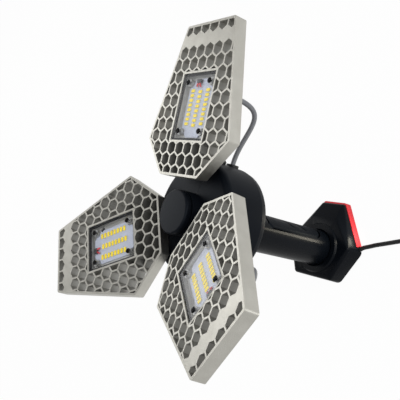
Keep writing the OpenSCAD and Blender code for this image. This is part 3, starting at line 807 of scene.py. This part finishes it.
# The coil: how many turns, how wide its ends are, how far apart its turns and layers are, and the
# direction from its middle at which the lead comes in
COIL_TURNS = 7.4
COIL_R = 29
COIL_STEP = 5.6
COIL_IN_AZ = 197.5
COIL_MIDDLE = mm(77.6, -126.1, 2.5)
RINGS_PER_TURN = 24
# The lead's far end: a little straight on, then round through this angle to the plug
TAIL_AHEAD = 4
TAIL_TURN_R = 20
TAIL_TURN = 160
TAIL_STEPS = 16
PLUG_R = 5.2


def smooth(t):
    """From 0 to 1 without a kink."""
    w = min(1, max(0, t))
    return w * w * (3 - 2 * w)


def coil_point(turns):
    """Wound in on the floor for half the turns, risen within half a turn, and wound out again."""
    from_middle = turns - COIL_TURNS / 2
    radius = COIL_R - COIL_STEP * COIL_TURNS / 4 + abs(from_middle) * COIL_STEP
    lift = COIL_STEP * smooth(from_middle * 2 + 0.5)
    return COIL_MIDDLE + unit_at(COIL_IN_AZ + 360 * turns) * radius * MM + mm(0, 0, lift)


coil_rings = round(COIL_TURNS * RINGS_PER_TURN)
winding = [coil_point(COIL_TURNS * k / coil_rings) for k in range(coil_rings + 1)]
coil_in = (winding[1] - winding[0]).normalized()
coil_out = (winding[-1] - winding[-2]).normalized()
coil_start = winding[0] - coil_in * CORD_D * MM
coil_end = winding[-1] + coil_out * CORD_D * MM
# Down to the floor, straight on past the picture's edge, and round to the coil
out_route = [
    RELIEF_OUT,
    RELIEF_OUT + RELIEF_DIR * RELIEF_AHEAD * MM - mm(0, 0, RELIEF_DROP),
    mm(13.5, -56, 2.6),
    mm(16.5, -64, 2.5),
    *[mm(19 + 2.5 * k, -72 - 8 * k, 2.5) for k in range(7)],
    mm(36.5, -127.7, 2.5),
    coil_start,
]
tail_right = Vector((coil_out.y, -coil_out.x, 0))


def tail_point(s):
    """Round from the coil, down to the floor by half-way, and up to the plug at the end."""
    a = math.radians(TAIL_TURN * s)
    ahead = TAIL_AHEAD * min(1, 8 * s) + TAIL_TURN_R * math.sin(a)
    rise = COIL_STEP * (1 - smooth(2 * s)) + (PLUG_R - CORD_D / 2) * smooth(4 * s - 3)
    at = coil_end + coil_out * ahead * MM + tail_right * TAIL_TURN_R * (1 - math.cos(a)) * MM
    return Vector((at.x, at.y, (CORD_D / 2 + rise) * MM))


tail_route = [tail_point(k / TAIL_STEPS) for k in range(TAIL_STEPS + 1)]
lead_line = [
    *smooth_line(out_route, per_step=4)[:-1],
    *winding,
    *smooth_line(tail_route, per_step=3),
]
power_cord = curve_through(lead_line, black_pvc, "power_cord", CORD_D * MM)
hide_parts("cord_lead", "cord_coil", "cord_tail")
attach(power_cord, "base")

# The panels' cables run square out of the gland, round in a loop and square into the hub's side.

# The gland's place on a panel's back and its length
GLAND = (20.5, 85)
GLAND_LEN = 8
# The grommet's place on the hub's side: how far round from the panel, how high and how far out
GROMMET_AZ = -2
GROMMET_Z = 178.5
GROMMET_FACE = 60.5
# Each loop's poles: the middle one in the axes of its panel at half its tilt, one straight behind
# the gland and one straight before the grommet
LOOP_POLE = [(26, 78, -71), (26, 78, -71), (-31, 33.5, -67)]
LOOP_OUT = (45, 45, 34.5)
LOOP_IN = (30, 30, 20)
# How many sides a tube has, and how many rings a cable
CABLE_SIDES = 20
CABLE_RINGS = 72


def cable_line(i):
    """The middle line of a panel's cable."""
    place = panel_place(i)
    sideways = unit_at(panel_azimuth(i) + GROMMET_AZ)
    poles = [
        place @ mm(*GLAND, -PANEL_T - GLAND_LEN),
        place @ mm(*GLAND, -PANEL_T - GLAND_LEN - LOOP_OUT[i]),
        panel_place(i, TILTS[i] / 2) @ mm(*LOOP_POLE[i]),
        sideways * (GROMMET_FACE + LOOP_IN[i]) * MM + mm(0, 0, GROMMET_Z),
        sideways * GROMMET_FACE * MM + mm(0, 0, GROMMET_Z),
    ]
    line = []
    for k in range(CABLE_RINGS + 1):
        t = k / CABLE_RINGS
        weights = [math.comb(4, n) * t**n * (1 - t) ** (4 - n) for n in range(5)]
        line.append(sum((p * w for p, w in zip(poles, weights)), Vector((0, 0, 0))))
    return line


def tube(name, line, width, material):
    """A round tube along the line, closed at both ends, without a twist between its rings."""
    shell = bmesh.new()
    across = None
    rings = []
    for k, point in enumerate(line):
        ahead = (line[min(k + 1, len(line) - 1)] - line[max(k - 1, 0)]).normalized()
        if across is None:
            across = ahead.orthogonal().normalized()
        across = (across - ahead * across.dot(ahead)).normalized()
        beside = ahead.cross(across)
        turns = [2 * math.pi * s / CABLE_SIDES for s in range(CABLE_SIDES)]
        rings.append(
            [
                shell.verts.new(point + (across * math.cos(a) + beside * math.sin(a)) * width / 2)
                for a in turns
            ]
        )
    for ring, after in zip(rings, rings[1:]):
        for s in range(CABLE_SIDES):
            t = (s + 1) % CABLE_SIDES
            shell.faces.new((ring[s], ring[t], after[t], after[s]))
    shell.faces.new(rings[0][::-1])
    shell.faces.new(rings[-1])
    mesh = mesh_from(name, shell)
    shade(mesh)
    mesh.materials.append(material)
    return in_scene(name, mesh)


for i, letter in enumerate(LETTERS):
    line = cable_line(i)
    panel_cable = tube("panel_cable_" + letter, line, CORD_D * MM, grey_pvc)
    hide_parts("cable_" + letter)
    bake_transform(panel_cable)

# The button's spring, as a plain copy of its part; the real one is squeezed when the button is
# pressed
spring = in_scene("button_spring_squeezed", nodes["button_spring"].data.copy())
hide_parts("button_spring")
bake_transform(spring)

# Where the cable's cores end on the LED board: a plug housing, two red cores and their solder, all
# measured from the board's face
CORE_D = 1.8
CORES = [
    [(-4.1, 91.8, 1.5), (-4.9, 91, 1.8), (-5.8, 90, 1.6), (-6.4, 88.8, 0.8)],
    [(-1.9, 91.8, 1.5), (-1.5, 91, 1.9), (-1, 89.7, 1.7), (-0.6, 88.3, 0.8)],
]
HOUSING_SIZE = (6.4, 3.6, 3)
HOUSING_AT = (-3, 93.6, 1.5)
HOUSING_EDGE = 0.35
# The housing's entries, one round each core, and the solder's beads, flattened and set back
ENTRY_Y = 91.5
ENTRY_R = (1.1, 0.95)
ENTRY_DEPTH = 0.8
SOLDER_R = 1.1
SOLDER_FLAT = 0.55
SOLDER_BACK = 0.4
SOLDER_Z = 0.3


def on_board(i):
    """From the axes on a panel's board to their place at rest."""
    return panel_place(i) @ Matrix.Translation(mm(0, 0, BOARD_FACE))


def solid_from(name, build, material, i):
    """A closed mesh that build makes in millimetres on the board's face."""
    shell = bmesh.new()
    build(shell)
    bmesh.ops.recalc_face_normals(shell, faces=shell.faces)
    mesh = mesh_from(name, shell)
    mesh.transform(on_board(i) @ Matrix.Scale(MM, 4))
    shade(mesh)
    mesh.materials.append(material)
    return in_scene(name, mesh)


def housing(shell):
    """A two-way plug housing with rounded edges and its two entries."""
    block = bmesh.ops.create_cube(shell, size=1)["verts"]
    bmesh.ops.scale(shell, vec=HOUSING_SIZE, verts=block)
    bmesh.ops.translate(shell, vec=HOUSING_AT, verts=block)
    bmesh.ops.bevel(
        shell, geom=shell.edges[:], offset=HOUSING_EDGE, segments=2, affect="EDGES", profile=0.5
    )
    for core in CORES:
        x, _, z = core[0]
        entry = bmesh.ops.create_cone(
            shell,
            cap_ends=True,
            segments=16,
            radius1=ENTRY_R[0],
            radius2=ENTRY_R[1],
            depth=ENTRY_DEPTH,
            matrix=turned(90, "X"),
        )["verts"]
        bmesh.ops.translate(shell, vec=(x, ENTRY_Y, z), verts=entry)


def solder(shell):
    """Two flattened beads of solder where the cores meet the board."""
    for core in CORES:
        x, y, _ = core[-1]
        bead = bmesh.ops.create_uvsphere(shell, u_segments=16, v_segments=10, radius=SOLDER_R)
        bmesh.ops.scale(shell, vec=(1, 1, SOLDER_FLAT), verts=bead["verts"])
        bmesh.ops.translate(shell, vec=(x, y - SOLDER_BACK, SOLDER_Z), verts=bead["verts"])


for i, letter in enumerate(LETTERS):
    board_pieces = [
        (solid_from("plug_housing_" + letter, housing, part_epoxy, i), "black_nylon"),
        (solid_from("solder_" + letter, solder, solder_tin, i), "plated_steel"),
    ]
    for k, core in enumerate(CORES):
        line = smooth_line([on_board(i) @ mm(*p) for p in core], per_step=4)
        piece = tube(f"core_{letter}{k + 1}", line, CORE_D * MM, lead_red)
        board_pieces.append((piece, "red_rubber"))
    for piece, slot in board_pieces:
        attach(piece, "panel_" + letter)

# ---- Floor, backdrop and light ----

# How much of the floor is plain white, and not lit paper, where it is looked at and in a gloss
FLOOR_LOOKED = 0.97
FLOOR_IN_GLOSS = 0.45
FLOOR_COLOUR = "#e6e6e6"
# In metres
FLOOR_SIZE = 30
# How bright the world is as a light. It is plain white where it is looked at.
WORLD_LIGHT = 0.42


def looked_at(tree, path):
    """1 where the camera looks at it, straight or through a clear part, and else 0."""
    rays = path.outputs["Is Camera Ray"], path.outputs["Is Transmission Ray"]
    return maths(tree, "MAXIMUM", *rays)


def lit_white(name, share, in_gloss, own_colour):
    """White where it is looked at, less so in a gloss, with some of its own shadow."""
    made, tree = new_material(name)
    path = add(tree, "ShaderNodeLightPath")
    mirrored = maths(tree, "MULTIPLY", path.outputs["Is Glossy Ray"], in_gloss)
    part = maths(tree, "MULTIPLY_ADD", looked_at(tree, path), share, mirrored)
    matt = add(tree, "ShaderNodeBsdfDiffuse", {"Color": own_colour})
    glow = add(tree, "ShaderNodeEmission", {"Color": WHITE, "Strength": 1.0})
    add(tree, "ShaderNodeOutputMaterial", {"Surface": mixed(tree, part, matt, glow)})
    return made


half = FLOOR_SIZE / 2
corners = [(-half, -half, 0), (half, -half, 0), (half, half, 0), (-half, half, 0)]
floor_mesh = bpy.data.meshes.new("floor")
floor_mesh.from_pydata(corners, [], [(0, 1, 2, 3)])
floor_mesh.materials.append(
    lit_white("studio_paper", FLOOR_LOOKED, FLOOR_IN_GLOSS, linear(FLOOR_COLOUR))
)
floor = in_scene("floor", floor_mesh)

world = bpy.data.worlds.new("studio")
scene.world = world
world.use_nodes = True
sky_tree = world.node_tree
sky_tree.nodes.clear()
seen = looked_at(sky_tree, add(sky_tree, "ShaderNodeLightPath"))
strength = add(
    sky_tree, "ShaderNodeMapRange", {"Value": seen, "To Min": WORLD_LIGHT, "To Max": 1.0}
)
sky = add(
    sky_tree, "ShaderNodeBackground", {"Color": WHITE, "Strength": strength.outputs["Result"]}
)
add(sky_tree, "ShaderNodeOutputWorld", {"Surface": sky.outputs[0]})


def soft_box(name, at, towards, size, watts, length=None, colour=(1, 1, 1)):
    """A square or longer lamp at one point that faces another, in metres, unseen by the camera."""
    lamp = bpy.data.lights.new(name, "AREA")
    lamp.shape = "RECTANGLE"
    lamp.size = size
    lamp.size_y = length or size
    lamp.energy = watts
    lamp.color = colour
    box = in_scene(name, lamp)
    box.visible_camera = False
    box.visible_transmission = False
    box.location = at
    box.rotation_mode = "QUATERNION"
    box.rotation_quaternion = (Vector(at) - Vector(towards)).to_track_quat("Z", "Y")


# What the lamps face, then each lamp's place and its square's side, all in metres, and its watts
MIDDLE = (0.02, 0, 0.16)
for lamp_name, lamp_at, lamp_side, lamp_watts in (
    ("over", (-0.1, -0.9, 1.6), 0.8, 6),
    ("right", (0.6, -1.3, 0.9), 0.8, 4.2),
    ("low", (0.2, -1.5, 0.25), 0.8, 5.6),
    ("back", (0.2, 1.4, 0.9), 0.9, 4),
):
    soft_box(lamp_name, lamp_at, MIDDLE, lamp_side, lamp_watts)
# A narrow cream card near the floor before the handle, which makes the light band along the handle,
# in metres too
CARD_AT = (0.042, -0.071, 0.032)
CARD_TOWARDS = (0.006, -0.02, 0.09)
CARD_WIDTH = 0.011
CARD_LENGTH = 0.075
CARD_WATTS = 0.045
CREAM = (1, 0.93, 0.76)
soft_box("card", CARD_AT, CARD_TOWARDS, CARD_WIDTH, CARD_WATTS, CARD_LENGTH, CREAM)

scene.view_settings.view_transform = "Standard"
